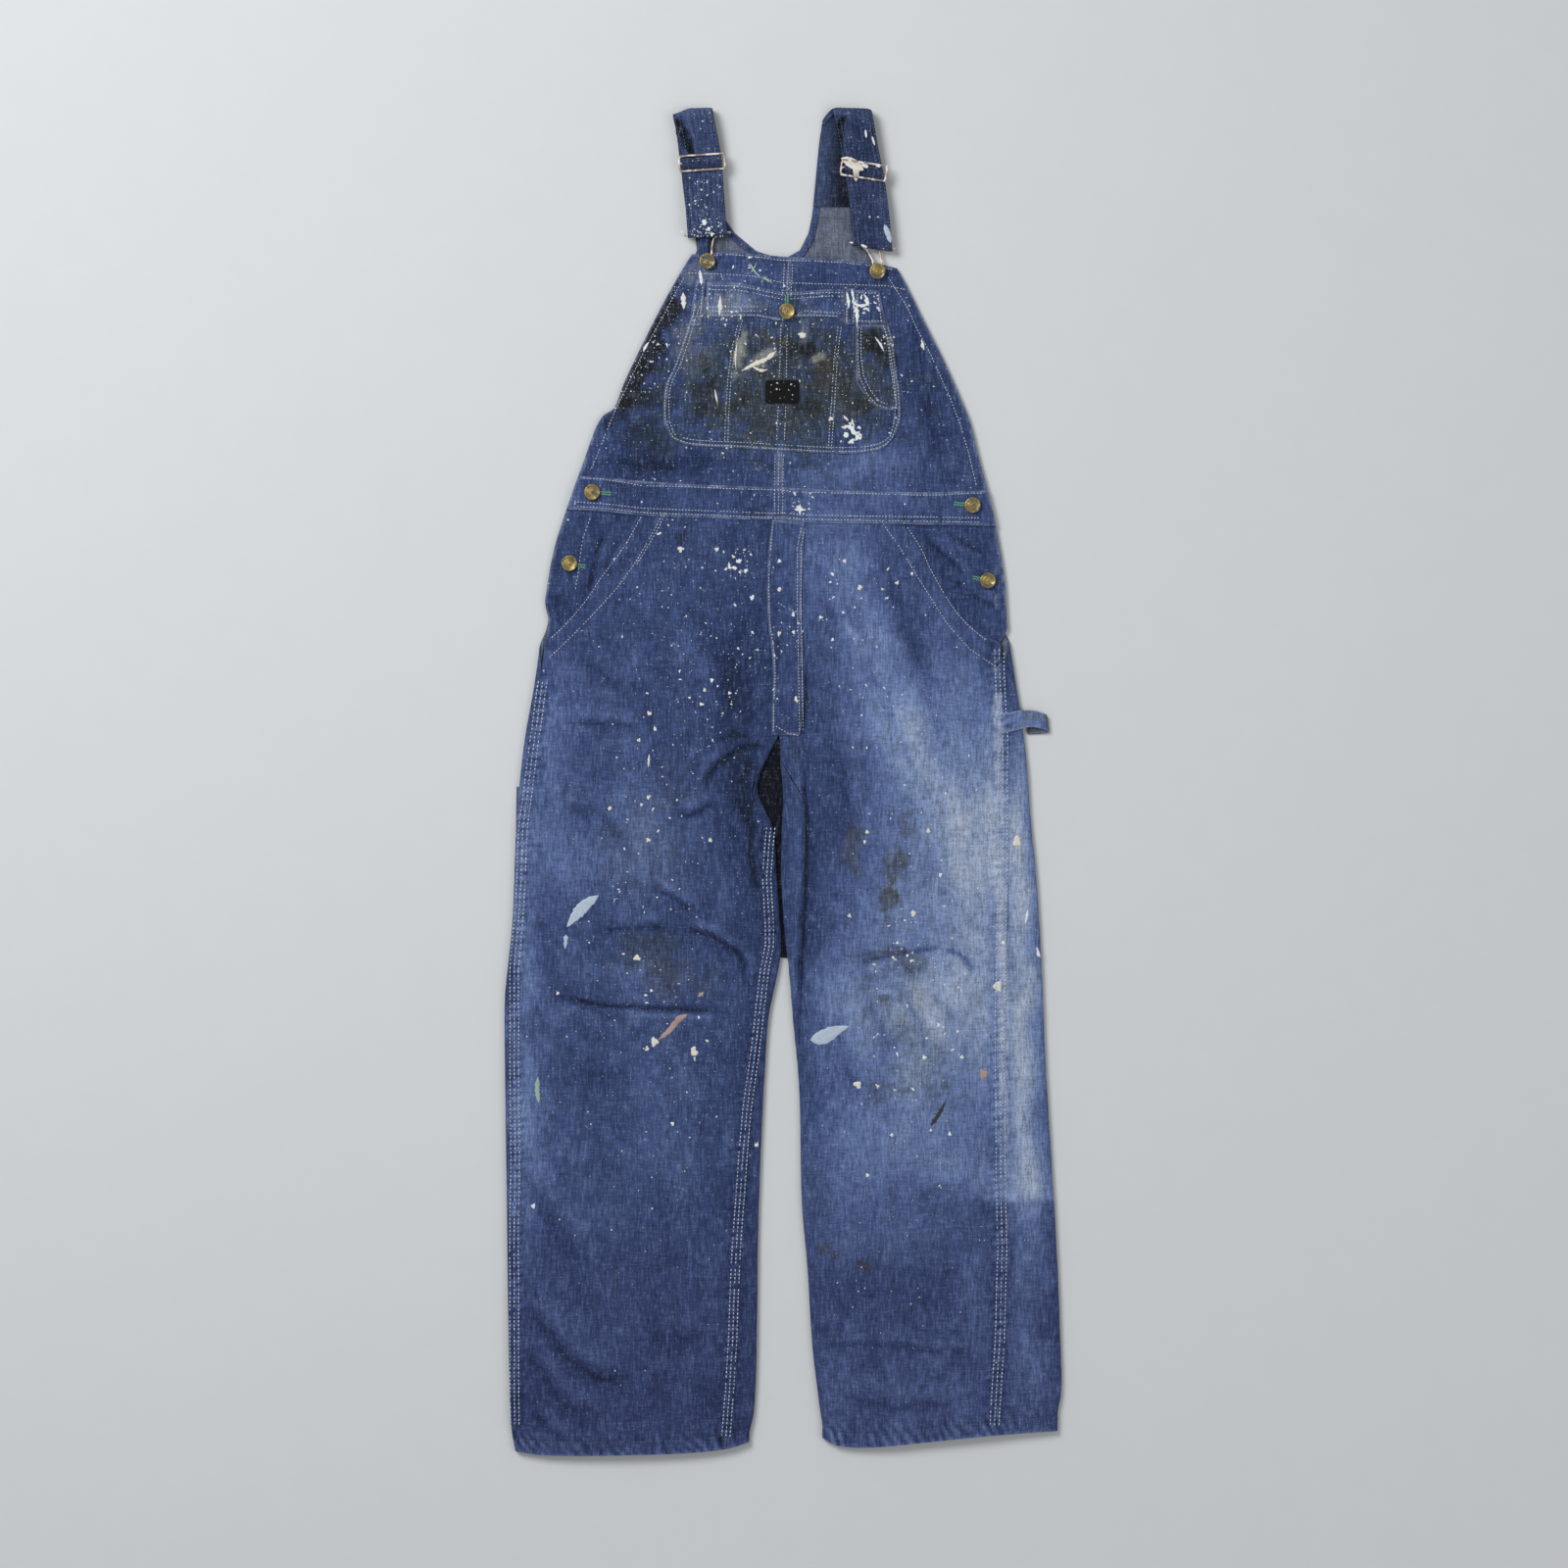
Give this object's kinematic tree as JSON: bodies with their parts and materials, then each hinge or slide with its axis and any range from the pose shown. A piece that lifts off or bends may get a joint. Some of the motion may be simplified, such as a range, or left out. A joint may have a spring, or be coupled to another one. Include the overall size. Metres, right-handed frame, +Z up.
{
  "type": "paint-spattered denim dungarees laid flat",
  "caption": "Worn denim bib overalls spattered with paint, laid flat on their back with straps fastened to the bib.",
  "frame": {"origin": "bottom centre of the garment's box, on the surface it lies on", "axes": "+Y from the hems to the shoulders, +Z up out of the surface (the garment's front faces up), +X to the wearer's left"},
  "size_m": [0.5966, 1.4416, 0.0178],
  "materials": {
    "denim": "washed and faded twill, matt",
    "dark_denim": "less faded twill, matt",
    "inner_denim": "pale inner side of twill, matt",
    "brass": "tarnished",
    "wire": "worn plated wire with dried paint",
    "patch": "plain black, matt"
  },
  "bodies": {
    "root": {"right_back": "denim", "left_back": "denim", "right_front": "denim", "left_front": "denim", "right_hem": "denim", "left_hem": "denim", "fly": "denim", "waistband": "denim", "right_bib": "denim", "left_bib": "denim", "bib_pocket": "denim", "pocket_band": "denim", "pencil_strip": "denim", "flap_strip": "denim", "corner_flap": "denim", "watch_pocket": "denim", "right_strap": "denim", "left_strap": "denim", "hammer_loop": "denim", "rule_pocket": "denim", "right_hip": "dark_denim", "left_hip": "dark_denim", "neck_facing": "inner_denim", "bib_facing": "inner_denim", "right_bib_button": "brass", "left_bib_button": "brass", "pocket_button": "brass", "right_waist_button": "brass", "left_waist_button": "brass", "right_hip_button": "brass", "left_hip_button": "brass", "right_slide": "wire", "left_slide": "wire", "right_hook": "wire", "left_hook": "wire", "label_patch": "patch"}
  },
  "joints": []
}
